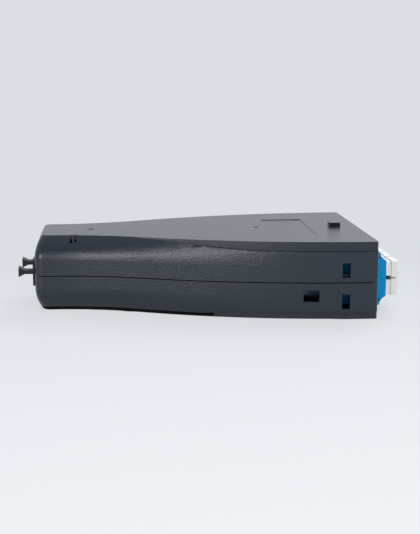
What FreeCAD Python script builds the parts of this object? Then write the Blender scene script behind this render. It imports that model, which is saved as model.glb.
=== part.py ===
"""Fibre cassette: a two-shell housing that fans two 12-fibre trunks out to 24 LC ports.

Row frame, millimetres: origin at the middle of the underside, +X out of the LC face,
+Z up. Every sub-part is modelled about its own seat and placed from the sheet.
"""
import FreeCAD, Part
import math
import os
from types import SimpleNamespace

import Sketcher
from FreeCAD import Placement, Rotation, Vector

# alias, value, what it is
DRIVING_SIZES = [
    ("length", 158.0, "housing, LC face to rear face"),
    ("front_width", 101.6, "housing across the LC face"),
    ("rear_width", 46.0, "housing across the rear, at the parting line"),
    ("upper_height", 19.1, "upper shell above the parting plane"),
    ("lower_height", 16.9, "lower shell below the parting plane"),
    ("wall", 2.0, "shell wall"),
    ("flare_front", 4.0, "flare's front end, behind the LC face"),
    ("flare_rear", 150.0, "flare's rear end, behind the LC face"),
    ("flare_share", 0.28, "share of the flare that curves outwards first"),
    ("rear_corner", 3.6, "rear vertical corner radius"),
    ("front_corner", 1.6, "front vertical corner radius"),
    ("shoulder_height", 11.0, "domed shoulder's height at the rear"),
    ("shoulder_inset", 4.7, "how far the shoulder leans in at its crown"),
    ("end_inset", 3.4, "how far the rear end leans in at its crown"),
    ("band_inset", 0.7, "top band's step in from the side wall"),
    ("upper_band", 4.3, "top band's height at the front"),
    ("lower_band", 3.2, "bottom band's height at the front"),
    ("band_front_run", 56.0, "band's level run, behind the LC face"),
    ("band_end", 115.0, "where the band runs out, behind the LC face"),
    ("groove_height", 0.45, "shadow gap along the parting line"),
    ("groove_depth", 0.6, "shadow gap's depth"),
    ("groove_margin", 2.5, "shadow gap stops this far from each end"),
    ("rib", 1.4, "inner ribs' thickness"),
    ("fit_gap", 0.1, "clearance of moulded pieces that slot together"),
    ("rib_gap", 0.15, "clearance of a collar between wall and rib"),
    ("cap_gap", 0.1, "clearance of a dust cap round its socket"),
    ("lc_pitch", 13.6, "LC duplex adapters' spacing"),
    ("lc_width", 13.4, "LC adapter's width"),
    ("lc_lip", 6.0, "LC adapter's lip, in front of the LC face"),
    ("lc_lip_height", 8.5, "LC adapter's lip height"),
    ("lc_root", 3.0, "LC adapter's full-height root, in front of the LC face"),
    ("lc_root_height", 12.5, "LC adapter's root height"),
    ("lc_scoop", 4.17, "finger scoop's radius between root and lip"),
    ("lc_back", 22.0, "LC adapter's inner end, behind the LC face"),
    ("lc_back_height", 11.9, "LC adapter's height behind its collar"),
    ("lc_collar", 1.1, "LC adapter's collar, proud of its root"),
    ("lc_port", 4.9, "LC port's side"),
    ("lc_port_pitch", 6.25, "LC ports' spacing in a duplex adapter"),
    ("lc_port_floor", 1.6, "wall between the seam and an LC port"),
    ("lc_latch_width", 3.0, "latch channel's width over an LC port"),
    ("lc_latch_depth", 1.5, "latch channel's depth over an LC port"),
    ("lc_web", 2.0, "wall that parts the front and inner LC ports"),
    ("sleeve_outer", 1.6, "alignment sleeve's outside diameter"),
    ("sleeve_inner", 1.28, "alignment sleeve's bore"),
    ("sleeve_length", 11.4, "alignment sleeve's length"),
    ("ferrule", 1.25, "LC ferrule's diameter"),
    ("ferrule_gap", 0.2, "clearance of an LC plug round its alignment sleeve"),
    ("plug_tail", 11.0, "LC plug's length outside its adapter"),
    ("plug_nose", 10.5, "LC plug's length inside its adapter"),
    ("boot_length", 11.0, "LC boot's length"),
    ("boot_front", 3.8, "LC boot's side at the plug"),
    ("boot_rear", 2.0, "LC boot's side at the pigtail"),
    ("lc_cap_neck", 2.4, "LC dust cap's neck length"),
    ("lc_cap_grip", 3.2, "LC dust cap's grip thickness"),
    ("lc_cap_width", 11.8, "LC dust cap's grip width"),
    ("lc_cap_height", 7.8, "LC dust cap's grip height"),
    ("lc_cap_seam", 0.4, "LC dust cap's grip, clear of the seam"),
    ("lc_cap_neck_height", 6.7, "LC dust cap's neck height"),
    ("lc_cap_peg", 7.5, "LC dust cap's pegs, length in the ports"),
    ("mpo_pitch", 25.0, "MPO adapters' spacing"),
    ("mpo_rise", 0.95, "MPO axis above the parting plane"),
    ("mpo_width", 10.4, "MPO adapter's width"),
    ("mpo_height", 13.0, "MPO adapter's height"),
    ("mpo_length", 24.0, "MPO adapter's length"),
    ("mpo_collar", 1.0, "MPO adapter's collar, proud all round"),
    ("mpo_socket_width", 7.4, "MPO socket's width"),
    ("mpo_socket_height", 10.2, "MPO socket's height"),
    ("mpo_socket_depth", 11.0, "MPO socket's depth, each side"),
    ("mpo_slot", 2.8, "MPO web's window for the ferrule, across"),
    ("mpo_cap_flange", 1.1, "MPO dust cap's flange thickness"),
    ("mpo_cap_margin", 1.15, "MPO dust cap's flange, proud of the socket"),
    ("mpo_cap_stem", 4.0, "MPO dust cap's stem length"),
    ("mpo_cap_stem_height", 1.8, "MPO dust cap's stem height"),
    ("mpo_cap_head", 2.9, "MPO dust cap's dovetail head length"),
    ("mpo_cap_head_height", 4.7, "MPO dust cap's dovetail head height"),
    ("mpo_cap_tab_width", 6.0, "MPO dust cap's stem and head, across"),
    ("mpo_cap_peg", 7.5, "MPO dust cap's peg length"),
    ("mpo_plug_tail", 10.0, "MPO plug's length outside its adapter"),
    ("mpo_boot", 6.0, "MPO plug's boot length"),
    ("trunk", 3.0, "trunk's diameter"),
    ("trunk_run", 6.0, "trunk's run from boot to fan-out block"),
    ("fanout_length", 12.0, "fan-out block's length"),
    ("fanout_width", 9.0, "fan-out block's width"),
    ("fanout_height", 5.0, "fan-out block's height"),
    ("fanout_chamfer", 0.67, "fan-out block's long edges"),
    ("cradle", 1.4, "cradle's thickness"),
    ("cradle_pitch", 7.8, "spacing of the two cradles under a fan-out block"),
    ("fanout_pitch", 1.3, "fan-out block's outlets, spacing"),
    ("pigtail", 0.9, "pigtail's diameter"),
    ("pigtail_lead", 3.0, "pigtail's straight run at each end"),
    ("window_length", 3.7, "front side windows' length"),
    ("window_place", 14.9, "front side windows' middle, behind the LC face"),
    ("window_low", 2.5, "upper front window's edge nearest the parting plane"),
    ("window_high", 9.3, "upper front window's edge furthest from it"),
    ("lower_window_low", 5.1, "lower front window's edge nearest the parting plane"),
    ("lower_window_high", 12.2, "lower front window's edge furthest from it"),
    ("tongue_length", 14.0, "locating tongue's length along the side"),
    ("tongue_height", 3.4, "locating tongue, above the parting plane"),
    ("tongue_thick", 1.2, "locating tongue's thickness"),
    ("tongue_root", 3.0, "locating tongue's root on the lower shell's wall"),
    ("catch_length", 7.3, "catch window's length"),
    ("catch_place", 30.8, "catch window's middle, behind the LC face"),
    ("catch_low", 3.3, "catch window's edge nearest the parting plane"),
    ("catch_high", 8.75, "catch window's edge furthest from it"),
    ("hook_length", 1.8, "snap hook's length along the side"),
    ("hook_place", 33.4, "snap hook's middle, behind the LC face"),
    ("hook_reach", 5.4, "snap hook's tip, below the parting plane"),
    ("hook_thick", 1.5, "snap hook's beam thickness"),
    ("hook_barb", 1.3, "snap hook's barb, out into its window"),
    ("hook_anchor", 2.6, "snap hook's anchor height on the upper shell's wall"),
    ("hook_anchor_low", 0.9, "snap hook's anchor, above the parting plane"),
    ("notch_length", 3.1, "shoulder notch's length"),
    ("notch_place", 139.7, "shoulder notch's middle, behind the LC face"),
    ("notch_width", 2.9, "shoulder notch's width"),
    ("notch_depth", 5.2, "shoulder notch's depth"),
    ("notch_tongue", 1.2, "tongue in the shoulder notch"),
    ("key_length", 5.4, "key block's length along the cassette"),
    ("key_width", 5.0, "key block's width"),
    ("key_height", 2.0, "key block's height"),
    ("key_place", 11.3, "key block's middle, behind the LC face"),
    ("label_length", 20.0, "label recess along the cassette"),
    ("label_width", 50.0, "label recess across the cassette"),
    ("label_place", 34.5, "label recess's middle, behind the LC face"),
    ("label_depth", 0.3, "label recess's depth"),
    ("dimple", 2.8, "dimples' diameter"),
    ("dimple_depth", 0.4, "dimples' depth"),
    ("dimple_front", 50.4, "front dimple, behind the LC face"),
    ("dimple_rear", 131.8, "rear dimple, behind the LC face"),
]
LC_PER_ROW = 6
SHOULDER_STEPS = 3
OUTER_ROUNDING = 1.0
INNER_ROUNDING = 0.5
PIGTAIL_SIDES = 6


class Size:
    """A length that knows its number and the sheet expression that it comes from."""

    def __init__(self, value, text):
        self.value = value
        self.text = text

    def joined(self, sign, other, swap=False):
        other = other if isinstance(other, Size) else Size(float(other), repr(float(other)))
        left, right = (other, self) if swap else (self, other)
        results = {
            "+": left.value + right.value,
            "-": left.value - right.value,
            "*": left.value * right.value,
            "/": left.value / right.value if right.value else 0.0,
        }
        return Size(results[sign], f"({left.text} {sign} {right.text})")

    def __add__(self, other):
        return self.joined("+", other)

    def __sub__(self, other):
        return self.joined("-", other)

    def __mul__(self, other):
        return self.joined("*", other)

    def __truediv__(self, other):
        return self.joined("/", other)

    def __radd__(self, other):
        return self.joined("+", other, swap=True)

    def __rsub__(self, other):
        return self.joined("-", other, swap=True)

    def __rmul__(self, other):
        return self.joined("*", other, swap=True)

    def __neg__(self):
        return self.joined("*", -1.0)


ZERO = Size(0.0, "0.0")


def make_sheet(doc):
    """The driving dimensions, one aliased cell each."""
    sheet = doc.addObject("Spreadsheet::Sheet", "Sizes")
    for row, (alias, value, note) in enumerate(DRIVING_SIZES, start=1):
        sheet.set(f"A{row}", note)
        sheet.set(f"B{row}", str(value))
        sheet.setAlias(f"B{row}", alias)
    doc.recompute()
    named = {alias: Size(float(sheet.get(alias)), f"Sizes.{alias}") for alias, _, _ in DRIVING_SIZES}
    return SimpleNamespace(**named)


def make_body(doc, label, place, turned_over=False):
    """An empty body seated at place, turned over about X for the lower row."""
    body = doc.addObject("PartDesign::Body", label)
    body.Label = label
    angle = 180.0 if turned_over else 0.0
    body.Placement = Placement(Vector(0, 0, 0), Rotation(Vector(1, 0, 0), angle))
    for axis, size in zip("xyz", place):
        body.setExpression(f"Placement.Base.{axis}", size.text)
    return body


def sketch_on(body, name, role, offset):
    """A sketch on one of the body's own origin planes, moved out along its normal."""
    sketch = body.newObject("Sketcher::SketchObject", name)
    plane = [item for item in body.Origin.OriginFeatures if item.Role == role][0]
    sketch.AttachmentSupport = [(plane, "")]
    sketch.MapMode = "FlatFace"
    sketch.setExpression("AttachmentOffset.Base.z", offset.text)
    return sketch


def middle_of_arc(start, end, radius, side):
    """Numeric point half way along an arc that bulges to the left (+1) or right (-1)."""
    chord = end - start
    half = chord.Length / 2
    sagitta = radius - math.sqrt(max(radius * radius - half * half, 0.0))
    left = Vector(-chord.y, chord.x, 0).normalize()
    return (start + end) * 0.5 + left * (side * sagitta)


def add_outline(sketch, steps):
    """Closed outline: each step is (x, y) for a line or (x, y, radius, side) for an arc."""
    first = sketch.GeometryCount
    points = [Vector(step[0].value, step[1].value, 0) for step in steps]
    ends = []
    for number, step in enumerate(steps):
        start, end = points[number - 1], points[number]
        if len(step) == 2:
            edge = Part.LineSegment(start, end)
        else:
            middle = middle_of_arc(start, end, step[2].value, step[3])
            edge = Part.Arc(start, middle, end)
        index = sketch.addGeometry(edge, False)
        forward = sketch.getPoint(index, 1).distanceToPoint(start) < 1e-6
        ends.append((1, 2) if forward else (2, 1))
    for number, step in enumerate(steps):
        index = first + number
        follower = (number + 1) % len(steps)
        after = ends[follower][0]
        here = ends[number][1]
        sketch.addConstraint(Sketcher.Constraint("Coincident", index, here, first + follower, after))
        for kind, size in (("DistanceX", step[0]), ("DistanceY", step[1])):
            bound = sketch.addConstraint(Sketcher.Constraint(kind, -1, 1, index, here, size.value))
            sketch.setExpression(f"Constraints[{bound}]", size.text)
        if len(step) == 4:
            bound = sketch.addConstraint(Sketcher.Constraint("Radius", index, step[2].value))
            sketch.setExpression(f"Constraints[{bound}]", step[2].text)
    return sketch


def add_circle(sketch, x, y, diameter):
    centre = Vector(x.value, y.value, 0)
    index = sketch.addGeometry(Part.Circle(centre, Vector(0, 0, 1), diameter.value / 2), False)
    for kind, size in (("DistanceX", x), ("DistanceY", y)):
        bound = sketch.addConstraint(Sketcher.Constraint(kind, -1, 1, index, 3, size.value))
        sketch.setExpression(f"Constraints[{bound}]", size.text)
    bound = sketch.addConstraint(Sketcher.Constraint("Diameter", index, diameter.value))
    sketch.setExpression(f"Constraints[{bound}]", diameter.text)
    return sketch


def rectangle(low_x, high_x, low_y, high_y):
    return [(low_x, low_y), (high_x, low_y), (high_x, high_y), (low_x, high_y)]


def add_feature(body, kind, name, sketch, length, midplane=False, reverse=False):
    """A pad or pocket of one sketch."""
    feature = body.newObject(f"PartDesign::{kind}", name)
    feature.Profile = sketch
    feature.Type = "Length"
    feature.setExpression("Length", length.text)
    if midplane:
        feature.SideType = "Symmetric"
    feature.Reversed = reverse
    sketch.Visibility = False
    return feature


def flare_radius(run, gain, share):
    """Radius of one arc of an S-curve whose two arcs meet tangent at the given share."""
    return (run * run + gain * gain) / (2.0 * gain) * share


def shell_outline(size, front_x, front_half, rear_x, rear_half, front_round, rear_round):
    """Plan outline from the front corner round the rear: straight, S-curve, straight, end."""
    run = size.flare_rear - size.flare_front
    gain = front_half - rear_half
    inflection_x = size.flare_share * run - size.flare_rear
    inflection_half = rear_half + size.flare_share * gain
    inner_arc = flare_radius(run, gain, size.flare_share)
    outer_arc = flare_radius(run, gain, 1.0 - size.flare_share)
    front_start = front_x - front_round
    rear_start = rear_x + rear_round
    return [
        (front_start, -front_half, front_round, 1),
        (-size.flare_front, -front_half),
        (inflection_x, -inflection_half, outer_arc, 1),
        (-size.flare_rear, -rear_half, inner_arc, -1),
        (rear_start, -rear_half),
        (rear_x, rear_round - rear_half, rear_round, 1),
        (rear_x, rear_half - rear_round),
        (rear_start, rear_half, rear_round, 1),
        (-size.flare_rear, rear_half),
        (inflection_x, inflection_half, inner_arc, -1),
        (-size.flare_front, front_half, outer_arc, 1),
        (front_start, front_half),
        (front_x, front_half - front_round, front_round, 1),
        (front_x, front_round - front_half),
    ]


def section(body, size, name, level, lean, wall, front_inset, rounding):
    """One level section of a shell, set in by the wall and leaning in by a share of its dome."""
    return add_outline(
        sketch_on(body, name, "XY_Plane", level),
        shell_outline(
            size,
            -wall,
            size.front_width / 2.0 - front_inset,
            wall - size.length + size.end_inset * lean,
            size.rear_width / 2.0 - wall - size.shoulder_inset * lean,
            size.front_corner * rounding,
            size.rear_corner * rounding,
        ),
    )


def add_loft(body, kind, name, sections):
    loft = body.newObject(f"PartDesign::{kind}", name)
    loft.Profile = sections[0]
    loft.Sections = sections[1:]
    loft.Ruled = False
    return loft


def shoulder_sections(body, size, name, foot, rise, wall, front_inset, rounding):
    """Sections up a shoulder that leans in with the square of its height."""
    sections = []
    for step in range(SHOULDER_STEPS + 1):
        climb = rise * (step / SHOULDER_STEPS)
        lean = climb * climb / (size.shoulder_height * size.shoulder_height)
        sections.append(section(body, size, f"{name}_{step}", foot + climb, lean, wall,
                                front_inset, rounding))
    return sections


def add_domed_form(body, size, height):
    """Outer form: plumb flanks up to the shoulder's foot, then the domed shoulder."""
    foot = height - size.shoulder_height
    plan = section(body, size, "flank_plan", ZERO, ZERO, ZERO, ZERO, OUTER_ROUNDING)
    add_feature(body, "Pad", "flanks", plan, foot)
    sections = shoulder_sections(body, size, "shoulder", foot, size.shoulder_height, ZERO, ZERO,
                                 OUTER_ROUNDING)
    add_loft(body, "AdditiveLoft", "domed_shoulder", sections)


def add_cavity(body, size, height):
    """Inner form: the outer one, set in by the wall on every side."""
    foot = height - size.shoulder_height
    front_inset = size.wall + size.band_inset
    plan = section(body, size, "cavity_plan", ZERO, ZERO, size.wall, front_inset, INNER_ROUNDING)
    add_feature(body, "Pocket", "cavity", plan, foot, reverse=True)
    rise = size.shoulder_height - size.wall
    sections = shoulder_sections(body, size, "ceiling", foot, rise, size.wall, front_inset,
                                 INNER_ROUNDING)
    add_loft(body, "SubtractiveLoft", "domed_ceiling", sections)


def add_band(body, size, height, band):
    """Stepped band: the shoulder is cut back to a ramp, and the plate stands up through it."""
    ledge = height - band
    beyond = size.front_width
    ramp = sketch_on(body, "band_ramp", "XZ_Plane", ZERO)
    above = height + size.wall
    add_outline(ramp, [
        (size.wall, ledge),
        (size.wall, above),
        (-size.band_end, above),
        (-size.band_end, height),
        (-size.band_front_run, ledge),
    ])
    add_feature(body, "Pocket", "band_step", ramp, 2.0 * beyond, midplane=True)
    plate = sketch_on(body, "band_plan", "XY_Plane", ledge - size.wall)
    add_outline(plate, shell_outline(
        size,
        ZERO,
        size.front_width / 2.0 - size.band_inset,
        size.end_inset - size.length,
        size.rear_width / 2.0 - size.shoulder_inset,
        size.front_corner,
        size.rear_corner,
    ))
    add_feature(body, "Pad", "band_plate", plate, band + size.wall)


def add_parting_groove(body, size):
    """Shadow gap: a thin rebate along both flanks at the parting plane."""
    half_front = size.front_width / 2.0 - size.groove_depth
    half_rear = size.rear_width / 2.0 - size.groove_depth
    run = size.flare_rear - size.flare_front
    gain = half_front - half_rear
    inflection_x = size.flare_share * run - size.flare_rear
    inflection_half = half_rear + size.flare_share * gain
    inner_arc = flare_radius(run, gain, size.flare_share)
    outer_arc = flare_radius(run, gain, 1.0 - size.flare_share)
    front_x = -size.groove_margin
    rear_x = size.groove_margin - size.length
    sketch = sketch_on(body, "groove_plan", "XY_Plane", ZERO)
    for side in (-1.0, 1.0):
        add_outline(sketch, [
            (front_x, side * size.front_width),
            (front_x, side * half_front),
            (-size.flare_front, side * half_front),
            (inflection_x, side * inflection_half, outer_arc, -side),
            (-size.flare_rear, side * half_rear, inner_arc, side),
            (rear_x, side * half_rear),
            (rear_x, side * size.front_width),
        ])
    add_feature(body, "Pocket", "parting_groove", sketch, size.groove_height, reverse=True)


def port_field_half(size):
    """Half the width of a row of LC adapters, with its clearance."""
    return size.lc_pitch * (LC_PER_ROW - 1) / 2.0 + size.lc_width / 2.0 + size.fit_gap


def add_openings(body, size, rise):
    """The LC row's opening in the front wall and the MPO adapters' in the rear wall."""
    half = port_field_half(size)
    front = sketch_on(body, "lc_opening_plan", "YZ_Plane", ZERO)
    add_outline(front, rectangle(-half, half, -size.wall, size.lc_root_height + size.fit_gap))
    add_feature(body, "Pocket", "lc_opening", front, size.wall)
    rear = sketch_on(body, "mpo_opening_plan", "YZ_Plane", -size.length)
    top = size.mpo_height / 2.0 + rise + size.fit_gap
    half = size.mpo_width / 2.0 + size.fit_gap
    for side in (-0.5, 0.5):
        middle = side * size.mpo_pitch
        add_outline(rear, rectangle(middle - half, middle + half, -size.wall, top))
    cut = size.wall + size.end_inset
    add_feature(body, "Pocket", "mpo_opening", rear, cut, reverse=True)


def add_ribs(body, size, height, rise):
    """Ribs that trap the LC and MPO adapters' collars behind the end walls."""
    ceiling = height - size.wall
    half = port_field_half(size)
    behind_collar = size.wall + 2.0 * size.rib_gap + size.lc_collar
    front = sketch_on(body, "lc_rib_plan", "YZ_Plane", -behind_collar)
    low = size.lc_root_height + size.fit_gap
    add_outline(front, rectangle(-half, half, low, ceiling))
    add_feature(body, "Pad", "lc_rib", front, size.rib, reverse=True)
    rear_x = size.wall + 2.0 * size.rib_gap + size.mpo_collar - size.length
    rear = sketch_on(body, "mpo_rib_plan", "YZ_Plane", rear_x)
    low = size.mpo_height / 2.0 + rise + size.fit_gap
    half = size.mpo_pitch / 2.0 + size.mpo_width / 2.0
    add_outline(rear, rectangle(-half, half, low, ceiling))
    add_feature(body, "Pad", "mpo_rib", rear, size.rib)
    stop = sketch_on(body, "lc_stop_plan", "YZ_Plane", -size.lc_back)
    half = port_field_half(size)
    add_outline(stop, rectangle(-half, half, size.lc_back_height + size.fit_gap, ceiling))
    add_feature(body, "Pad", "lc_stop", stop, size.rib)


def add_side_window(body, size, name, place, length, low, high):
    """A window through both side walls."""
    sketch = sketch_on(body, f"{name}_plan", "XZ_Plane", ZERO)
    add_outline(sketch, rectangle(-place - length / 2.0, length / 2.0 - place, low, high))
    add_feature(body, "Pocket", name, sketch, 2.0 * size.front_width, midplane=True)


def add_shoulder_notches(body, size, height):
    """Snap notches in both rear shoulders, each with a short tongue."""
    crown = size.rear_width / 2.0 - size.shoulder_inset
    sketch = sketch_on(body, "notch_plan", "XY_Plane", height)
    half = size.notch_length / 2.0
    for side in (-1.0, 1.0):
        outer = side * (crown + size.notch_width)
        add_outline(sketch, rectangle(-size.notch_place - half, half - size.notch_place,
                                      side * crown, outer))
    add_feature(body, "Pocket", "shoulder_notches", sketch, size.notch_depth)
    tongue = sketch_on(body, "tongue_plan", "XY_Plane", height - size.notch_depth)
    half = size.notch_tongue / 2.0
    for side in (-1.0, 1.0):
        outer = side * (crown + size.notch_width / 2.0)
        add_outline(tongue, rectangle(-size.notch_place - half, half - size.notch_place,
                                      side * crown, outer))
    add_feature(body, "Pad", "notch_tongues", tongue, size.notch_depth - size.label_depth)


def add_top_details(body, size, height):
    """Key block, label recess and two dimples on the upper shell's top."""
    key = sketch_on(body, "key_plan", "XY_Plane", height)
    half_length = size.key_length / 2.0
    half_width = size.key_width / 2.0
    add_outline(key, rectangle(-size.key_place - half_length, half_length - size.key_place,
                               -half_width, half_width))
    add_feature(body, "Pad", "key_block", key, size.key_height)
    label = sketch_on(body, "label_plan", "XY_Plane", height)
    half_length = size.label_length / 2.0
    half_width = size.label_width / 2.0
    add_outline(label, rectangle(-size.label_place - half_length, half_length - size.label_place,
                                 -half_width, half_width))
    add_feature(body, "Pocket", "label_recess", label, size.label_depth)
    dimples = sketch_on(body, "dimple_plan", "XY_Plane", height)
    for place in (size.dimple_front, size.dimple_rear):
        add_circle(dimples, -place, ZERO, size.dimple)
    add_feature(body, "Pocket", "dimples", dimples, size.dimple_depth)


def inner_half_at(size, place):
    """Half width of the cavity on the outer arc of the flare, place behind the LC face."""
    run = size.flare_rear - size.flare_front
    front_half = size.front_width / 2.0 - size.wall - size.band_inset
    gain = front_half - (size.rear_width / 2.0 - size.wall)
    radius = flare_radius(run, gain, 1.0 - size.flare_share)
    reach = place - size.flare_front
    return front_half - reach * reach / (2.0 * radius)


def add_wall_fin(body, size, name, place, length, thick, base, top, root_low, root_high):
    """A fin inside both side walls, joined to its own shell's wall between the root's levels."""
    face = inner_half_at(size, place + length / 2.0) - size.fit_gap
    back = face - thick
    front = length / 2.0 - place
    rear = -place - length / 2.0
    fin = sketch_on(body, f"{name}_plan", "XY_Plane", base)
    root = sketch_on(body, f"{name}_root_plan", "XY_Plane", root_low)
    for side in (-1.0, 1.0):
        add_outline(fin, rectangle(rear, front, side * back, side * face))
        add_outline(root, rectangle(rear, front, side * back, side * (face + size.wall)))
    add_feature(body, "Pad", f"{name}_fin", fin, top - base)
    add_feature(body, "Pad", f"{name}_root", root, root_high - root_low)
    return face


def add_snap_hooks(body, size):
    """Hooks that hang from the upper shell and spring into the lower shell's windows."""
    face = add_wall_fin(body, size, "hook", size.hook_place, size.hook_length, size.hook_thick,
                        -size.hook_reach, size.hook_anchor_low + size.hook_anchor,
                        size.hook_anchor_low, size.hook_anchor_low + size.hook_anchor)
    half = size.hook_length / 2.0
    barb = sketch_on(body, "barb_plan", "XY_Plane", -size.hook_reach)
    for side in (-1.0, 1.0):
        add_outline(barb, rectangle(-size.hook_place - half, half - size.hook_place,
                                    side * (face - size.hook_thick), side * (face + size.hook_barb)))
    add_feature(body, "Pad", "hook_barb", barb, size.hook_reach - size.catch_low - size.fit_gap)


def add_locating_tongues(body, size):
    """Tongues on the lower shell that stand up inside the upper shell's walls."""
    add_wall_fin(body, size, "tongue", size.window_place, size.tongue_length, size.tongue_thick,
                 -size.tongue_height, size.tongue_root, size.groove_height, size.tongue_root)


def make_upper_shell(doc, size):
    place = (size.length / 2.0, ZERO, size.lower_height)
    body = make_body(doc, "upper_shell", place)
    height = size.upper_height
    add_domed_form(body, size, height)
    add_band(body, size, height, size.upper_band)
    add_cavity(body, size, height)
    add_parting_groove(body, size)
    add_openings(body, size, size.mpo_rise)
    add_ribs(body, size, height, size.mpo_rise)
    add_side_window(body, size, "front_window", size.window_place, size.window_length,
                    size.window_low, size.window_high)
    add_shoulder_notches(body, size, height)
    add_top_details(body, size, height)
    add_snap_hooks(body, size)
    return body


def make_lower_shell(doc, size):
    place = (size.length / 2.0, ZERO, size.lower_height)
    body = make_body(doc, "lower_shell", place, turned_over=True)
    height = size.lower_height
    add_domed_form(body, size, height)
    add_band(body, size, height, size.lower_band)
    add_cavity(body, size, height)
    add_openings(body, size, -size.mpo_rise)
    add_ribs(body, size, height, -size.mpo_rise)
    add_side_window(body, size, "front_window", size.window_place, size.window_length,
                    size.lower_window_low, size.lower_window_high)
    add_side_window(body, size, "catch_window", size.catch_place, size.catch_length,
                    size.catch_low, size.catch_high)
    add_cradles(body, size, height)
    add_locating_tongues(body, size)
    return body


def fanout_front(size):
    """Fan-out block's front end, behind the LC face."""
    rear = size.mpo_length + size.mpo_plug_tail + size.mpo_boot + size.trunk_run
    return size.length - rear - size.fanout_length


def add_cradles(body, size, height):
    """Pedestals on the lower shell's floor that carry the fan-out blocks."""
    floor = height - size.wall
    top = size.fanout_height / 2.0 - size.mpo_rise
    block_middle = -fanout_front(size) - size.fanout_length / 2.0
    cradle = sketch_on(body, "cradle_plan", "XY_Plane", top + size.fit_gap)
    half = size.fanout_width / 2.0
    for side in (-0.5, 0.5):
        across = side * size.mpo_pitch
        for end in (-0.5, 0.5):
            along = block_middle + end * size.cradle_pitch
            add_outline(cradle, rectangle(along - size.cradle / 2.0, along + size.cradle / 2.0,
                                          across - half, across + half))
    add_feature(body, "Pad", "cradles", cradle, floor - top - size.fit_gap)


def lc_middles(size):
    """The LC adapters' middles across the cassette."""
    return [(number - (LC_PER_ROW - 1) / 2.0) * size.lc_pitch for number in range(LC_PER_ROW)]


def lc_seat(size, middle):
    return (size.length / 2.0, middle, size.lower_height)


def port_profile(size, side):
    """LC port and its latch channel, seen along X."""
    middle = side * size.lc_port_pitch
    half = size.lc_port / 2.0
    latch = size.lc_latch_width / 2.0
    low = size.lc_port_floor
    high = low + size.lc_port
    top = high + size.lc_latch_depth
    return [
        (middle - half, low),
        (middle + half, low),
        (middle + half, high),
        (middle + latch, high),
        (middle + latch, top),
        (middle - latch, top),
        (middle - latch, high),
        (middle - half, high),
    ]


def lc_axis(size):
    """The ferrules' height off the seam."""
    return size.lc_port_floor + size.lc_port / 2.0


def lc_web_middle(size):
    """The LC adapter's web, measured forward from the LC face."""
    return (size.lc_lip - size.lc_back) / 2.0


def make_lc_adapter(doc, size, label, middle, turned_over):
    """Duplex adapter: scooped lip, collar behind the wall, two ports from each end."""
    body = make_body(doc, label, lc_seat(size, middle), turned_over)
    side = sketch_on(body, "side_profile", "XZ_Plane", ZERO)
    collar_front = -size.wall - size.rib_gap
    collar_back = collar_front - size.lc_collar
    collar_height = size.lc_root_height + size.lc_collar
    add_outline(side, [
        (-size.lc_back, ZERO),
        (size.lc_lip, ZERO),
        (size.lc_lip, size.lc_lip_height),
        (size.lc_root, size.lc_root_height, size.lc_scoop, 1),
        (collar_front, size.lc_root_height),
        (collar_front, collar_height),
        (collar_back, collar_height),
        (collar_back, size.lc_back_height),
        (-size.lc_back, size.lc_back_height),
    ])
    add_feature(body, "Pad", "moulding", side, size.lc_width, midplane=True)
    web = lc_web_middle(size)
    front = sketch_on(body, "front_ports_plan", "YZ_Plane", size.lc_lip)
    inner = sketch_on(body, "inner_ports_plan", "YZ_Plane", -size.lc_back)
    bores = sketch_on(body, "sleeve_bores_plan", "YZ_Plane", web + size.lc_web)
    for half in (-0.5, 0.5):
        add_outline(front, port_profile(size, half))
        add_outline(inner, port_profile(size, half))
        add_circle(bores, half * size.lc_port_pitch, lc_axis(size), size.sleeve_outer + size.fit_gap)
    depth = size.lc_lip - web - size.lc_web / 2.0
    add_feature(body, "Pocket", "front_ports", front, depth)
    add_feature(body, "Pocket", "inner_ports", inner, depth, reverse=True)
    add_feature(body, "Pocket", "sleeve_bores", bores, 2.0 * size.lc_web)
    return body


def make_lc_cap(doc, size, label, middle, turned_over):
    """Duplex dust cap: a grip, a neck against the lip and a peg in each port."""
    body = make_body(doc, label, lc_seat(size, middle), turned_over)
    neck_start = size.lc_lip + size.cap_gap
    grip_start = neck_start + size.lc_cap_neck
    half = size.lc_cap_width / 2.0
    low = size.lc_cap_seam
    grip = sketch_on(body, "grip_plan", "YZ_Plane", grip_start)
    add_outline(grip, rectangle(-half, half, low, low + size.lc_cap_height))
    add_feature(body, "Pad", "grip", grip, size.lc_cap_grip)
    neck = sketch_on(body, "neck_plan", "YZ_Plane", neck_start)
    neck_low = low + (size.lc_cap_height - size.lc_cap_neck_height) / 2.0
    neck_half = half - size.lc_cap_seam
    add_outline(neck, rectangle(-neck_half, neck_half, neck_low, neck_low + size.lc_cap_neck_height))
    add_feature(body, "Pad", "neck", neck, size.lc_cap_neck)
    pegs = sketch_on(body, "pegs_plan", "YZ_Plane", neck_start)
    peg = size.lc_port / 2.0 - size.cap_gap
    for side in (-0.5, 0.5):
        across = side * size.lc_port_pitch
        add_outline(pegs, rectangle(across - peg, across + peg,
                                    lc_axis(size) - peg, lc_axis(size) + peg))
    add_feature(body, "Pad", "pegs", pegs, size.lc_cap_peg, reverse=True)
    return body


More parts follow.
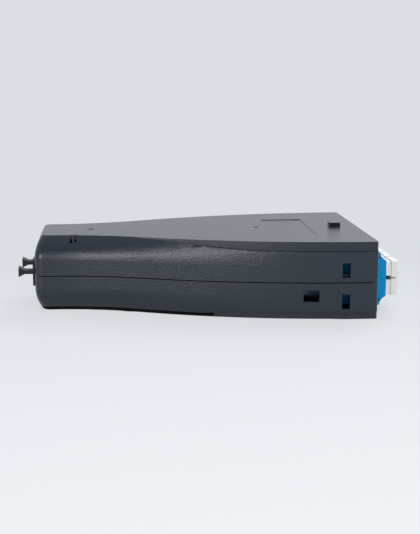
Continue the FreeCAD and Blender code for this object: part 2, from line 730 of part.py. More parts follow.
def make_lc_plugs(doc, size, label, middle, turned_over):
    """The pair of LC plugs in an adapter's inner ports: ferrules in their wells, and latches."""
    body = make_body(doc, label, lc_seat(size, middle), turned_over)
    nose_front = size.plug_nose - size.lc_back
    tail_back = -size.lc_back - size.plug_tail
    half = size.lc_port / 2.0 - size.fit_gap
    latch_half = size.lc_latch_width / 2.0 - 2.0 * size.fit_gap
    axis = lc_axis(size)
    reach = lc_web_middle(size) - nose_front
    well_depth = size.sleeve_length / 2.0 - reach + size.fit_gap
    housing = sketch_on(body, "housing_plan", "YZ_Plane", tail_back)
    well = sketch_on(body, "well_plan", "YZ_Plane", nose_front)
    ferrule = sketch_on(body, "ferrule_plan", "YZ_Plane", nose_front - well_depth)
    for side in (-0.5, 0.5):
        across = side * size.lc_port_pitch
        add_outline(housing, rectangle(across - half, across + half, axis - half, axis + half))
        add_circle(well, across, axis, size.sleeve_outer + 2.0 * size.ferrule_gap)
        add_circle(ferrule, across, axis, size.ferrule)
    add_feature(body, "Pad", "housings", housing, size.plug_tail + size.plug_nose)
    add_feature(body, "Pocket", "ferrule_wells", well, well_depth)
    add_feature(body, "Pad", "ferrules", ferrule, reach + well_depth)
    for number, side in enumerate((-0.5, 0.5), start=1):
        across = side * size.lc_port_pitch
        latch = sketch_on(body, f"latch_profile_{number}", "XZ_Plane", -across)
        foot = axis + half
        add_outline(latch, [
            (nose_front, foot),
            (tail_back + size.rib, foot),
            (tail_back, foot + size.lc_latch_depth),
            (tail_back + size.rib, foot + size.lc_latch_depth),
            (-size.lc_back, foot + size.rib - size.fit_gap),
        ])
        add_feature(body, "Pad", f"latch_{number}", latch, 2.0 * latch_half, midplane=True)
    return body


def row_axis(size, turned_over):
    """The ferrules' height in the row frame."""
    rise = lc_axis(size)
    return size.lower_height - rise if turned_over else size.lower_height + rise


def lc_port_middles(size):
    """Every LC port's middle across the cassette, for one row."""
    return [middle + side * size.lc_port_pitch for middle in lc_middles(size) for side in (-0.5, 0.5)]


def make_boots(doc, size, label, turned_over):
    """A row of tapered strain-relief boots behind the LC plugs."""
    boots = []
    start = size.length / 2.0 - size.lc_back - size.plug_tail
    front = size.boot_front / 2.0
    rear = size.boot_rear / 2.0
    ends = {
        "Xmin": -front, "Xmax": front, "Zmin": -front, "Zmax": front,
        "X2min": -rear, "X2max": rear, "Z2min": -rear, "Z2max": rear,
        "Ymin": ZERO, "Ymax": size.boot_length,
    }
    for number, across in enumerate(lc_port_middles(size), start=1):
        boot = doc.addObject("Part::Wedge", f"{label}_{number}")
        for name, end in ends.items():
            boot.setExpression(name, end.text)
        boot.Placement = Placement(Vector(0, 0, 0), Rotation(Vector(0, 0, 1), 90))
        boot.setExpression("Placement.Base.x", start.text)
        boot.setExpression("Placement.Base.y", across.text)
        boot.setExpression("Placement.Base.z", row_axis(size, turned_over).text)
        boots.append(boot)
    row = doc.addObject("Part::Compound", label)
    row.Links = boots
    return row


def make_sleeves(doc, size, label, turned_over):
    """A row of ceramic alignment sleeves, one through each adapter's web."""
    body = make_body(doc, label, lc_seat(size, ZERO), turned_over)
    start = lc_web_middle(size) - size.sleeve_length / 2.0
    rings = sketch_on(body, "rings", "YZ_Plane", start)
    for across in lc_port_middles(size):
        add_circle(rings, across, lc_axis(size), size.sleeve_outer)
        add_circle(rings, across, lc_axis(size), size.sleeve_inner)
    add_feature(body, "Pad", "tubes", rings, size.sleeve_length)
    return body


def mpo_seat(size, side):
    return (-size.length / 2.0, side * size.mpo_pitch, size.lower_height + size.mpo_rise)


def add_block(body, size, kind, name, start, length, half_width, half_height, reverse=False):
    """A box or a box-shaped pocket about the MPO axis, from start along +X."""
    plan = sketch_on(body, f"{name}_plan", "YZ_Plane", start)
    add_outline(plan, rectangle(-half_width, half_width, -half_height, half_height))
    return add_feature(body, kind, name, plan, length, reverse=reverse)


def make_mpo_adapter(doc, size, label, side):
    """MPO adapter: flush in the rear wall, held by its collar, a socket from each end."""
    body = make_body(doc, label, mpo_seat(size, side))
    half_width = size.mpo_width / 2.0
    half_height = size.mpo_height / 2.0
    add_block(body, size, "Pad", "moulding", ZERO, size.mpo_length, half_width, half_height)
    add_block(body, size, "Pad", "collar", size.wall + size.rib_gap, size.mpo_collar,
              half_width + size.mpo_collar, half_height + size.mpo_collar)
    half_width = size.mpo_socket_width / 2.0
    half_height = size.mpo_socket_height / 2.0
    depth = size.mpo_socket_depth
    add_block(body, size, "Pocket", "outer_socket", ZERO, depth, half_width, half_height,
              reverse=True)
    add_block(body, size, "Pocket", "inner_socket", size.mpo_length, depth, half_width, half_height)
    add_block(body, size, "Pocket", "ferrule_window", size.mpo_length, size.mpo_length,
              size.mpo_slot / 2.0, half_height - size.mpo_collar)
    return body


def make_mpo_cap(doc, size, label, side):
    """MPO dust cap: a hollow peg, a flange against the adapter and a dovetail pull tab."""
    body = make_body(doc, label, mpo_seat(size, side))
    half_width = size.mpo_socket_width / 2.0
    half_height = size.mpo_socket_height / 2.0
    flange_start = -size.cap_gap - size.mpo_cap_flange
    margin = size.mpo_cap_margin
    add_block(body, size, "Pad", "flange", flange_start, size.mpo_cap_flange,
              half_width + margin, half_height + margin)
    add_block(body, size, "Pad", "peg", -size.cap_gap, size.mpo_cap_peg,
              half_width - size.cap_gap, half_height - size.cap_gap)
    add_block(body, size, "Pocket", "peg_hollow", size.mpo_cap_peg - size.cap_gap,
              size.mpo_cap_peg, half_width - size.cap_gap - size.mpo_cap_flange,
              half_height - size.cap_gap - size.mpo_cap_flange)
    tab = sketch_on(body, "tab_profile", "XZ_Plane", ZERO)
    stem_end = flange_start - size.mpo_cap_stem
    head_end = stem_end - size.mpo_cap_head
    stem_half = size.mpo_cap_stem_height / 2.0
    head_half = size.mpo_cap_head_height / 2.0
    add_outline(tab, [
        (flange_start, -stem_half),
        (flange_start, stem_half),
        (stem_end, stem_half),
        (head_end, head_half),
        (head_end, -head_half),
        (stem_end, -stem_half),
    ])
    add_feature(body, "Pad", "pull_tab", tab, size.mpo_cap_tab_width, midplane=True)
    return body


def make_mpo_plug(doc, size, label, side):
    """The trunk's plug in the adapter's inner socket, with its stepped boot."""
    body = make_body(doc, label, mpo_seat(size, side))
    nose = size.mpo_length - size.mpo_socket_depth + size.fit_gap
    tail = size.mpo_length + size.mpo_plug_tail
    add_block(body, size, "Pad", "housing", nose, tail - nose,
              size.mpo_socket_width / 2.0 - size.fit_gap,
              size.mpo_socket_height / 2.0 - size.fit_gap)
    add_block(body, size, "Pad", "boot", tail, size.mpo_boot, size.trunk, size.trunk)
    return body


def make_fanout(doc, size, label, side):
    """Fan-out block that splits the trunk into twelve pigtails."""
    body = make_body(doc, label, mpo_seat(size, side))
    start = size.length - fanout_front(size) - size.fanout_length
    block = add_block(body, size, "Pad", "block", start, size.fanout_length,
                      size.fanout_width / 2.0, size.fanout_height / 2.0)
    doc.recompute()
    ends = [f"Edge{number}" for number, edge in enumerate(block.Shape.Edges, start=1)
            if abs(edge.Vertexes[0].X - edge.Vertexes[1].X) > 1.0]
    chamfer = body.newObject("PartDesign::Chamfer", "long_edges")
    chamfer.Base = (block, ends)
    chamfer.setExpression("Size", size.fanout_chamfer.text)
    return body


def make_trunk(doc, size, label, side):
    """Short trunk between the plug's boot and the fan-out block."""
    trunk = doc.addObject("Part::Cylinder", label)
    trunk.setExpression("Radius", (size.trunk / 2.0).text)
    trunk.setExpression("Height", size.trunk_run.text)
    trunk.Placement = Placement(Vector(0, 0, 0), Rotation(Vector(0, 1, 0), 90))
    x, y, z = mpo_seat(size, side)
    start = x + size.mpo_length + size.mpo_plug_tail + size.mpo_boot
    trunk.setExpression("Placement.Base.x", start.text)
    trunk.setExpression("Placement.Base.y", y.text)
    trunk.setExpression("Placement.Base.z", z.text)
    return trunk


def pigtail_shape(start, end, lead, radius):
    """A six-sided fibre along +X at both ends that steps across on two tangent arcs."""
    ahead = Vector(1, 0, 0)
    begin = start + ahead * lead
    finish = end - ahead * lead
    step = finish - begin
    run = step.x
    across = Vector(0, step.y, step.z)
    shift = across.Length
    bend = (run * run + shift * shift) / (4 * shift)
    aside = Vector(across).normalize()
    turn = math.asin(run / (2 * bend))
    middle = (begin + finish) * 0.5

    def on_arc(origin, sense, angle):
        return origin + ahead * (sense * bend * math.sin(angle)) + aside * (
            sense * bend * (1 - math.cos(angle)))

    edges = [
        Part.LineSegment(start, begin).toShape(),
        Part.Arc(begin, on_arc(begin, 1, turn / 2), middle).toShape(),
        Part.Arc(middle, on_arc(finish, -1, turn / 2), finish).toShape(),
        Part.LineSegment(finish, end).toShape(),
    ]
    corners = [start + Vector(0, radius * math.cos(corner), radius * math.sin(corner))
               for corner in (side * math.tau / PIGTAIL_SIDES for side in range(PIGTAIL_SIDES))]
    profile = Part.makePolygon(corners + corners[:1])
    return Part.Wire(edges).makePipeShell([profile], True, True)


def make_pigtails(doc, size, label, side):
    """Twelve pigtails from one fan-out block to the LC boots on its side."""
    x, y, z = (place.value for place in mpo_seat(size, side))
    start_x = size.length.value / 2 - fanout_front(size).value
    end_x = size.length.value / 2 - (
        size.lc_back + size.plug_tail + size.boot_length).value
    nearest = [across.value for across in lc_port_middles(size) if across.value * side > 0]
    tubes = []
    for turned_over in (False, True):
        row = -0.5 if turned_over else 0.5
        for number, across in enumerate(sorted(nearest)):
            outlet = (number - (len(nearest) - 1) / 2) * size.fanout_pitch.value
            start = Vector(start_x, y + outlet, z + row * size.fanout_pitch.value)
            end = Vector(end_x, across, row_axis(size, turned_over).value)
            tubes.append(pigtail_shape(start, end, size.pigtail_lead.value, size.pigtail.value / 2))
    pigtails = doc.addObject("Part::Feature", label)
    pigtails.Shape = Part.makeCompound(tubes)
    return pigtails


def make_parts(doc, size):
    """Every sub-part of the cassette."""
    parts = [make_upper_shell(doc, size), make_lower_shell(doc, size)]
    for row, turned_over in (("upper", False), ("lower", True)):
        for number, middle in enumerate(lc_middles(size), start=1):
            parts.append(make_lc_adapter(doc, size, f"{row}_lc_adapter_{number}", middle, turned_over))
            parts.append(make_lc_cap(doc, size, f"{row}_lc_cap_{number}", middle, turned_over))
            parts.append(make_lc_plugs(doc, size, f"{row}_lc_plugs_{number}", middle, turned_over))
        parts.append(make_boots(doc, size, f"{row}_boots", turned_over))
        parts.append(make_sleeves(doc, size, f"{row}_sleeves", turned_over))
    for number, side in enumerate((-0.5, 0.5), start=1):
        parts.append(make_mpo_adapter(doc, size, f"mpo_adapter_{number}", side))
        parts.append(make_mpo_cap(doc, size, f"mpo_cap_{number}", side))
        parts.append(make_mpo_plug(doc, size, f"mpo_plug_{number}", side))
        parts.append(make_trunk(doc, size, f"trunk_{number}", side))
        parts.append(make_fanout(doc, size, f"fanout_block_{number}", side))
        parts.append(make_pigtails(doc, size, f"pigtails_{number}", side))
    return parts


def check(doc, parts):
    """Stop before anything is written if an object failed or a shape is unsound."""
    for item in doc.Objects:
        if "Invalid" in item.State or "Error" in item.State:
            raise RuntimeError(f"{item.Label} did not recompute: {item.State}")
    for part in parts:
        if part.Shape.isNull() or not part.Shape.isValid():
            raise RuntimeError(f"{part.Label} has no sound shape")


doc = FreeCAD.newDocument("fibre_cassette")
sizes = make_sheet(doc)
parts = make_parts(doc, sizes)
doc.recompute()
check(doc, parts)
os.makedirs("parts", exist_ok=True)
for part in parts:
    part.Shape.exportStep(f"parts/{part.Label}.step")
    print(part.Label, len(part.Shape.Solids), round(part.Shape.Volume, 1))
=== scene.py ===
import math

import bmesh
import bpy
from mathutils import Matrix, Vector


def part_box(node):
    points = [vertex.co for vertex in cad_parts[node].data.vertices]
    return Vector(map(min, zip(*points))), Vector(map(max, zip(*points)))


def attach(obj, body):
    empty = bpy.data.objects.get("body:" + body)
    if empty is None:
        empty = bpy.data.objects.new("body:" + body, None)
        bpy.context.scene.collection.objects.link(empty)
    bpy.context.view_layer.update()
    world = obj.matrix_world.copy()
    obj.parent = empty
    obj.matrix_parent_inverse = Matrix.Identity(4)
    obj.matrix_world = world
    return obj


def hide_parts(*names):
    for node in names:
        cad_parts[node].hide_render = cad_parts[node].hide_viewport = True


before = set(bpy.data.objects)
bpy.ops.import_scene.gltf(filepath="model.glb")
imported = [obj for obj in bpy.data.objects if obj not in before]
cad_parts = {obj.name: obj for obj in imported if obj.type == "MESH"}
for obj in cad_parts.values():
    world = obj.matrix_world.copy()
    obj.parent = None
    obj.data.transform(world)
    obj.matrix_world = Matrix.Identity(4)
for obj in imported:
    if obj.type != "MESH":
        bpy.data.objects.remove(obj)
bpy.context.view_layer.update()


# ---------------------------------------------------------------- housing shells
# Two halves of a slim wedge-shaped case, moulded in charcoal ABS and snapped
# together along the parting line. The tool is spark-eroded, so the skin is an
# even fine grain, and every outside edge has the small radius of a mould.
CROWN_EDGE = 0.0003  # radius round the top
FOOT_EDGE = 0.0008  # radius round the underside
FOOT_END = 0.06  # the foot's radius runs from the rear to here
LEDGE_EDGE = 0.0003  # radius on the corners of the stepped bands
LEDGE_START = -0.005  # the bands' radius runs from here to the front
UPPER_LEDGE = (0.0312, 0.0344)  # levels between which each band's corner runs
LOWER_LEDGE = (0.0018, 0.0040)
KEY_RISE = 0.002  # the key block stands this far above the top
GAP_HEIGHT = 0.00045  # the shadow gap on the parting line
SHADE_HEIGHT = 0.002  # the strip of painted shade round the foot
SHADE_END = 0.006  # the strip runs from the rear to here


def linear(hex_colour):
    """sRGB hex to the linear RGBA that a shader takes."""
    channels = [int(hex_colour[place:place + 2], 16) / 255 for place in (1, 3, 5)]
    return [c / 12.92 if c <= 0.04045 else ((c + 0.055) / 1.055) ** 2.4 for c in channels] + [1.0]


def add_node(tree, kind, settings=None, sockets=None, links=None):
    """A shader node with its own settings, its socket values and what feeds its inputs."""
    node = tree.nodes.new(kind)
    for name, value in (settings or {}).items():
        setattr(node, name, value)
    for name, value in (sockets or {}).items():
        node.inputs[name].default_value = value
    for name, (source, output) in (links or {}).items():
        tree.links.new(source.outputs[output], node.inputs[name])
    return node


def new_material(name):
    """A material with nothing in it yet, and its node tree."""
    material = bpy.data.materials.new(name)
    material.use_nodes = True
    material.node_tree.nodes.clear()
    return material, material.node_tree


def moulded_plastic(name, colour, roughness, grain, depth, ior=1.53):
    """A moulded skin: one colour, and a fine grain of the given size and depth in metres."""
    material, tree = new_material(name)
    place = add_node(tree, "ShaderNodeTexCoord")
    speckle = add_node(tree, "ShaderNodeTexNoise",
                       sockets={"Scale": 1 / grain, "Detail": 2.0, "Roughness": 0.6},
                       links={"Vector": (place, "Object")})
    bump = add_node(tree, "ShaderNodeBump", sockets={"Distance": depth, "Strength": 1.0},
                    links={"Height": (speckle, "Fac")})
    skin = add_node(tree, "ShaderNodeBsdfPrincipled",
                    sockets={"Base Color": linear(colour), "Roughness": roughness, "IOR": ior},
                    links={"Normal": (bump, "Normal")})
    add_node(tree, "ShaderNodeOutputMaterial", links={"Surface": (skin, "BSDF")})
    return material


# Charcoal ABS, spark-eroded: dull, with a soft sheen that breaks up into grains.
# The real grain is about 0.2 mm; it is drawn at 0.7 mm so that it shows.
housing_abs = moulded_plastic("charcoal_abs_spark_eroded", "#212b37", roughness=0.24,
                              grain=0.0007, depth=0.0001, ior=1.47)

# Painted shade: the back of the shadow gap and a strip along the drawn-in foot of the
# rear half are painted all but black, as hardly any light gets there.
painted_shade_abs = moulded_plastic("charcoal_abs_painted_shade", "#050608", roughness=0.8,
                          grain=0.0007, depth=0.00001, ior=1.2)

MERGE_DISTANCE = 1e-6
FLAT_ANGLE = math.radians(0.5)


def pick(piece):
    """Make one object the only selected one and the active one."""
    bpy.ops.object.select_all(action="DESELECT")
    piece.select_set(True)
    bpy.context.view_layer.objects.active = piece


def edit_all(piece):
    """Open one object in edit mode with all of its mesh selected."""
    pick(piece)
    bpy.ops.object.mode_set(mode="EDIT")
    bpy.ops.mesh.select_all(action="SELECT")


def merged_copy(node, name):
    """A copy of a frame solid, its loose triangles joined into one skin that keeps its normals."""
    piece = bpy.data.objects.new(name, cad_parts[node].data.copy())
    bpy.context.scene.collection.objects.link(piece)
    edit_all(piece)
    bpy.ops.mesh.remove_doubles(threshold=MERGE_DISTANCE, use_sharp_edge_from_normals=True)
    bpy.ops.object.mode_set(mode="OBJECT")
    return piece


def solid_copy(node, name):
    """A merged copy that is ready for edge work."""
    piece = merged_copy(node, name)
    edit_all(piece)
    bpy.ops.mesh.customdata_custom_splitnormals_clear()
    bpy.ops.object.mode_set(mode="OBJECT")
    return piece


def make_flats_whole(piece):
    """Join the triangles of each flat face, so that no fan of them spoils a long rounding."""
    edit_all(piece)
    bpy.ops.mesh.dissolve_limited(angle_limit=FLAT_ANGLE, delimit={"SHARP"})
    bpy.ops.object.mode_set(mode="OBJECT")


def cut_level(piece, height):
    """Add a level ring of edges all round a piece."""
    edit_all(piece)
    bpy.ops.mesh.bisect(plane_co=(0, 0, height), plane_no=(0, 0, 1))
    bpy.ops.object.mode_set(mode="OBJECT")


SHARP_EDGE = math.radians(30)


def select_sharp(piece, wanted, outer=False):
    """Select the sharp edges whose two ends pass the test, or only the outward corners of them."""
    mesh = piece.data
    bpy.ops.object.mode_set(mode="EDIT")
    bpy.ops.mesh.select_mode(type="EDGE")
    bpy.ops.mesh.select_all(action="DESELECT")
    bpy.ops.mesh.edges_select_sharp(sharpness=SHARP_EDGE)
    bpy.ops.object.mode_set(mode="OBJECT")
    for edge in mesh.edges:
        if edge.select:
            ends = [mesh.vertices[number].co for number in edge.vertices]
            edge.select = all(wanted(end) for end in ends)
    # A face that stays selected would bring its other edges back.
    for face in mesh.polygons:
        face.select = False
    bpy.ops.object.mode_set(mode="EDIT")
    if outer:
        shape = bmesh.from_edit_mesh(mesh)
        for edge in shape.edges:
            if edge.select and not edge.is_convex:
                edge.select_set(False)
        bmesh.update_edit_mesh(mesh)


def round_edges(piece, width, wanted, segments=2, outer=False):
    """Round the chosen sharp edges and remember the new points."""
    select_sharp(piece, wanted, outer)
    bpy.ops.mesh.bevel(offset=width, segments=segments, affect="EDGES", clamp_overlap=False)
    bpy.ops.object.mode_set(mode="OBJECT")
    rounded = piece.vertex_groups.get("rounded") or piece.vertex_groups.new(name="rounded")
    rounded.add([point.index for point in piece.data.vertices if point.select], 1.0, "REPLACE")


FACE_WEIGHT = 90


def finish_piece(piece, material, body, node):
    """Shade, paint and seat a dressed piece in the place of its solid."""
    # A rounding as tall as the step that it rounds leaves faces without area.
    edit_all(piece)
    bpy.ops.mesh.dissolve_degenerate(threshold=MERGE_DISTANCE)
    bpy.ops.object.mode_set(mode="OBJECT")
    bpy.ops.object.shade_smooth_by_angle(angle=SHARP_EDGE)
    normals = piece.modifiers.new("flat_faces_lead", "WEIGHTED_NORMAL")
    normals.keep_sharp = True
    normals.weight = FACE_WEIGHT
    bpy.ops.object.modifier_apply(modifier=normals.name)
    piece.data.materials.clear()
    piece.data.materials.append(material)
    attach(piece, body)
    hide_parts(node)


def borrow_normals(piece, node):
    """Take the true surface normals of a frame solid, but for the rounded edges."""
    source = merged_copy(node, "lender")
    pick(piece)
    lender = piece.modifiers.new("surface_normals", "DATA_TRANSFER")
    lender.object = source
    lender.use_loop_data = True
    lender.data_types_loops = {"CUSTOM_NORMAL"}
    lender.loop_mapping = "NEAREST_POLYNOR"
    lender.vertex_group = "rounded"
    lender.invert_vertex_group = True
    bpy.ops.object.modifier_apply(modifier=lender.name)
    bpy.data.objects.remove(source)


PLACE_SLACK = 2e-5


def near(value, target):
    """Whether a coordinate is at the target, but for rounding."""
    return abs(value - target) < PLACE_SLACK


upper_low, upper_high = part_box("upper_shell")
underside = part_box("lower_shell")[0].z
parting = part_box("lower_lc_adapter_1")[1].z
front_face = upper_high.x
rear_face = upper_low.x
crown = upper_high.z - KEY_RISE


def paint_gap_and_foot_shade(shell):
    """Paint the back of the shadow gap and the strip round the foot near black, as painted shade.
    """
    shell.data.materials.append(painted_shade_abs)
    for face in shell.data.polygons:
        points = [shell.data.vertices[number].co for number in face.vertices]
        low, high = min(point.z for point in points), max(point.z for point in points)
        in_gap = low > parting - PLACE_SLACK and high < parting + GAP_HEIGHT + PLACE_SLACK
        under_foot = (high < SHADE_HEIGHT + PLACE_SLACK
                      and max(point.x for point in points) < SHADE_END)
        # Painted shade: faces in the gap and along the foot of the rear half take the near-black
        # material.
        if in_gap or under_foot:
            face.material_index = 1


for node, level, width, last_x, ledge in (
        ("upper_shell", crown, CROWN_EDGE, front_face, UPPER_LEDGE),
        ("lower_shell", underside, FOOT_EDGE, FOOT_END, LOWER_LEDGE)):
    shell = solid_copy(node, f"{node}_moulding")
    make_flats_whole(shell)
    # The ring bounds the strip of painted shade round the foot.
    cut_level(shell, SHADE_HEIGHT)
    round_edges(shell, width, lambda end: near(end.z, level) and end.x < last_x + PLACE_SLACK,
                segments=3, outer=True)
    round_edges(shell, LEDGE_EDGE,
                lambda end: ledge[0] < end.z < ledge[1] and end.x > LEDGE_START, outer=True)
    finish_piece(shell, housing_abs, "housing", node)
    borrow_normals(shell, node)
    paint_gap_and_foot_shade(shell)


# ---------------------------------------------------------------- LC adapters
# Twelve duplex adapters in two rows, back to back on the parting plane. They
# are moulded in glossy blue polyester, the colour for single-mode fibre, and
# snap into the openings of the front wall with their lips standing out.
ADAPTER_EDGE = 0.0003
SHELL_WALL = 0.0021  # the front wall and the play behind it

# Smooth moulded polyester: a clear blue with a soft, wide highlight, and the
# barely seen ripple of a moulding, about 1 mm from crest to crest.
adapter_plastic = moulded_plastic("blue_polyester_moulded", "#0093d4", roughness=0.35,
                                  grain=0.0012, depth=0.000004, ior=1.22)


def lc_nodes(piece):
    """The twelve like nodes of the two LC rows."""
    return [f"{row}_lc_{piece}_{number}" for row in ("upper", "lower") for number in range(1, 7)]


def at_lip_or_seam(end):
    """Whether a point is on what stands in front of the wall, or where the two rows meet."""
    return end.x > front_face - SHELL_WALL or near(end.z, parting)


for node in lc_nodes("adapter"):
    adapter = solid_copy(node, f"{node}_moulding")
    round_edges(adapter, ADAPTER_EDGE, at_lip_or_seam, outer=True)
    finish_piece(adapter, adapter_plastic, "housing", node)


# ---------------------------------------------------------------- LC dust caps
# One duplex cap per adapter, moulded in natural white polyethylene. The grip
# is a plain rounded slab, the neck behind it is slimmer, and two pegs fill the
# ports by friction.
CAP_EDGE = 0.0005

# Polyethylene: milky and waxy, so it takes light without a shine. It has the
# same faint ripple.
cap_plastic = moulded_plastic("white_polyethylene_moulded", "#eeedea", roughness=0.8,
                              grain=0.0012, depth=0.000004, ior=1.05)

for node in lc_nodes("cap"):
    cap = solid_copy(node, f"{node}_moulding")
    round_edges(cap, CAP_EDGE, lambda end: True, segments=3)
    finish_piece(cap, cap_plastic, node, node)


# ---------------------------------------------------------------- MPO adapters and caps
# Two multi-fibre adapters sit flush in the rear wall, moulded in black
# polyester. Each is closed by a black rubbery cap with a dovetail pull tab.
MPO_CAP_EDGE = 0.00025

# Black polyester is a little glossy, and the elastomer of the caps is duller.
mpo_plastic = moulded_plastic("black_polyester_moulded", "#101214", roughness=0.4,
                              grain=0.0012, depth=0.000004, ior=1.42)
mpo_cap_rubber = moulded_plastic("black_elastomer_moulded", "#0e1216", roughness=0.5,
                                 grain=0.001, depth=0.00001, ior=1.4)


def paint(node, material):
    """Give a frame solid that stays as it is its one material."""
    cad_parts[node].data.materials.clear()
    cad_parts[node].data.materials.append(material)


for number in (1, 2):
    paint(f"mpo_adapter_{number}", mpo_plastic)
    node = f"mpo_cap_{number}"
    cap = solid_copy(node, f"{node}_moulding")
    round_edges(cap, MPO_CAP_EDGE, lambda end: end.x < rear_face - PLACE_SLACK)
    finish_piece(cap, mpo_cap_rubber, node, node)


# ---------------------------------------------------------------- fibre harness inside
# What the closed case holds: twelve pairs of blue LC plugs with zirconia
# sleeves and soft white boots, two black trunk plugs with their short jackets,
# and the fan-out blocks that turn each trunk into twelve pigtails.

# None of it shows while the case is closed, so each has the plain finish of the
# real one: glossy plugs, matt boots, fine-ground sleeves and satin jackets.
plug_plastic = moulded_plastic("blue_polyester_plugs", "#0f74b5", roughness=0.4,
                               grain=0.0012, depth=0.000004)
boot_rubber = moulded_plastic("white_elastomer_boots", "#e2e2df", roughness=0.6,
                              grain=0.001, depth=0.00001)
sleeve_ceramic = moulded_plastic("zirconia_ground", "#eceae2", roughness=0.18,
                                 grain=0.0008, depth=0.000001, ior=2.1)
trunk_jacket = moulded_plastic("yellow_lszh_jacket", "#e3c22a", roughness=0.5,
                               grain=0.001, depth=0.00001)
fanout_plastic = moulded_plastic("black_abs_fanout", "#23262a", roughness=0.5,
                                 grain=0.0008, depth=0.00002)
pigtail_jacket = moulded_plastic("yellow_tight_buffer", "#e8cf4a", roughness=0.45,
                                 grain=0.001, depth=0.000005)

INNER_FINISHES = (
    ("_plugs_", plug_plastic),
    ("_boots", boot_rubber),
    ("_sleeves", sleeve_ceramic),
    ("mpo_plug_", mpo_plastic),
    ("trunk_", trunk_jacket),
    ("fanout_block_", fanout_plastic),
    ("pigtails_", pigtail_jacket),
)

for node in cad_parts:
    for mark, finish in INNER_FINISHES:
        if mark in node:
            paint(node, finish)


# ---------------------------------------------------------------- table and light
# The cassette lies on a pale table that sweeps up into a backdrop and fades into
# haze behind it. A low strip box draws the sheen along the shoulder, a soft box
# lights it from behind, and a fill hangs above. The room is brighter up and back.
FLOOR_HALF = 3.0
FOOT_GAP = 0.00005  # between the underside and the table, so that neither cuts the other
SWEEP_START = 0.9
SWEEP_RADIUS = 0.6
SWEEP_STEPS = 24
BACKDROP_TOP = 1.6
FADE_START = -0.65  # the haze begins here, in front of the cassette
FADE_END = 0.1  # and is full here, just behind it

# Matt white paint: it carries the contact shadow and no shine. The haze is seen
# by the eye and in reflections, and lights nothing.
table_paint, table_tree = new_material("pale_table")
table_skin = add_node(table_tree, "ShaderNodeBsdfDiffuse", sockets={"Color": linear("#f0f3f5")})
haze = add_node(table_tree, "ShaderNodeEmission",
                sockets={"Color": linear("#dbdfe4"), "Strength": 1.0})
table_place = add_node(table_tree, "ShaderNodeTexCoord")
axes = add_node(table_tree, "ShaderNodeSeparateXYZ", links={"Vector": (table_place, "Object")})
far_share = add_node(table_tree, "ShaderNodeMapRange",
                     sockets={"From Min": FADE_START, "From Max": FADE_END},
                     links={"Value": (axes, "Y")})
ray = add_node(table_tree, "ShaderNodeLightPath")
seen = add_node(table_tree, "ShaderNodeMath",
                settings={"operation": "ADD", "use_clamp": True},
                links={0: (ray, "Is Camera Ray"), 1: (ray, "Is Glossy Ray")})
seen_through = add_node(table_tree, "ShaderNodeMath",
                        settings={"operation": "ADD", "use_clamp": True},
                        links={0: (seen, "Value"), 1: (ray, "Is Transmission Ray")})
haze_share = add_node(table_tree, "ShaderNodeMath", settings={"operation": "MULTIPLY"},
                      links={0: (seen_through, "Value"), 1: (far_share, "Result")})
blend = add_node(table_tree, "ShaderNodeMixShader",
                 links={"Fac": (haze_share, "Value"),
                        1: (table_skin, "BSDF"), 2: (haze, "Emission")})
add_node(table_tree, "ShaderNodeOutputMaterial", links={"Surface": (blend, "Shader")})

bpy.ops.object.select_all(action="DESELECT")
bpy.ops.mesh.primitive_plane_add(size=2 * FLOOR_HALF,
                                 location=(0, SWEEP_START - FLOOR_HALF, -FOOT_GAP))
bpy.ops.object.transform_apply(location=True, rotation=False, scale=False)
table = bpy.context.active_object
table.name = "table"
bpy.ops.object.mode_set(mode="EDIT")
bpy.ops.mesh.select_mode(type="EDGE")
bpy.ops.mesh.select_all(action="DESELECT")
bpy.ops.object.mode_set(mode="OBJECT")
for edge in table.data.edges:
    ends = [table.data.vertices[number].co.y for number in edge.vertices]
    edge.select = min(ends) > SWEEP_START - PLACE_SLACK
bpy.ops.object.mode_set(mode="EDIT")
bpy.ops.mesh.spin(steps=SWEEP_STEPS, angle=-math.pi / 2, axis=(1, 0, 0),
                  center=(0, SWEEP_START, SWEEP_RADIUS))
bpy.ops.mesh.extrude_region_move(TRANSFORM_OT_translate={"value": (0, 0, BACKDROP_TOP)})
bpy.ops.object.mode_set(mode="OBJECT")
bpy.ops.object.shade_smooth()
table.data.materials.append(table_paint)

ROOM_BRIGHT_WAY = (-0.4, 0.5, 0.75)
ROOM_DIM = 0.3
ROOM_BRIGHT = 0.85
ROOM_DIM_SIDE = -0.2  # how far round from the bright way the room is at its dimmest

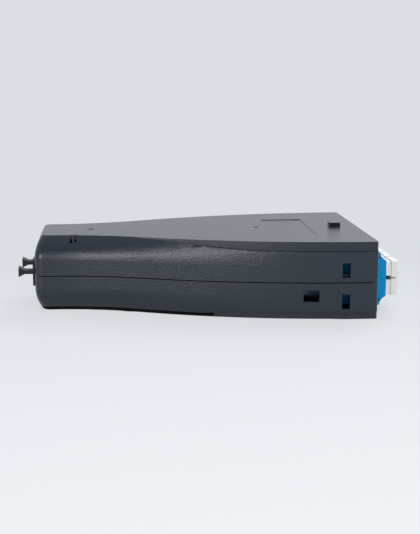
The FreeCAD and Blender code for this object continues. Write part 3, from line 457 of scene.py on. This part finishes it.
room = bpy.data.worlds.new("room")
bpy.context.scene.world = room
room.use_nodes = True
room_tree = room.node_tree
room_tree.nodes.clear()
room_place = add_node(room_tree, "ShaderNodeTexCoord")
room_side = add_node(room_tree, "ShaderNodeVectorMath", settings={"operation": "DOT_PRODUCT"},
                     sockets={1: ROOM_BRIGHT_WAY}, links={0: (room_place, "Generated")})
daylight = add_node(room_tree, "ShaderNodeMapRange",
                    sockets={"From Min": ROOM_DIM_SIDE, "From Max": 1.0,
                             "To Min": ROOM_DIM, "To Max": ROOM_BRIGHT},
                    links={"Value": (room_side, "Value")})
walls = add_node(room_tree, "ShaderNodeBackground", sockets={"Color": linear("#f4f6f8")},
                 links={"Strength": (daylight, "Result")})
add_node(room_tree, "ShaderNodeOutputWorld", links={"Surface": (walls, "Background")})


def soft_lamp(name, place, width, height, power):
    """A soft box at place that looks at the middle of the cassette."""
    data = bpy.data.lights.new(name, "AREA")
    data.shape = "RECTANGLE"
    data.size = width
    data.size_y = height
    data.energy = power
    lamp = bpy.data.objects.new(name, data)
    bpy.context.scene.collection.objects.link(lamp)
    lamp.location = place
    lamp.rotation_euler = (-Vector(place)).to_track_quat("-Z", "Y").to_euler()
    return lamp


# The strip box only draws the sheen, and the fill only lifts the shade.
sheen = soft_lamp("low_strip_box", (-0.6, -1.05, 0.17), width=0.85, height=0.22, power=4.8)
sheen.visible_diffuse = False
soft_lamp("back_soft_box", (0.5, 0.75, 0.95), width=0.7, height=0.6, power=8.6)
fill = soft_lamp("front_fill", (0.1, -0.75, 1.1), width=0.8, height=0.6, power=7.0)
fill.visible_glossy = False


# ---------------------------------------------------------------- camera
# A long lens a little above the table and a little to the left of the middle,
# tipped down to the cassette.
CAMERA_PLACE = (-0.0425, -0.5557, 0.1193)
LENS = 77.0
LOOK_DOWN = math.radians(10.474)
LOOK_RIGHT = math.radians(4.97)

camera_data = bpy.data.cameras.new("camera")
camera_data.lens = LENS
camera_data.sensor_width = 36.0
camera_data.clip_start = 0.01
camera = bpy.data.objects.new("camera", camera_data)
bpy.context.scene.collection.objects.link(camera)
camera.location = CAMERA_PLACE
camera.rotation_euler = (math.pi / 2 - LOOK_DOWN, 0, -LOOK_RIGHT)
bpy.context.scene.camera = camera
bpy.context.scene.view_settings.view_transform = "Standard"
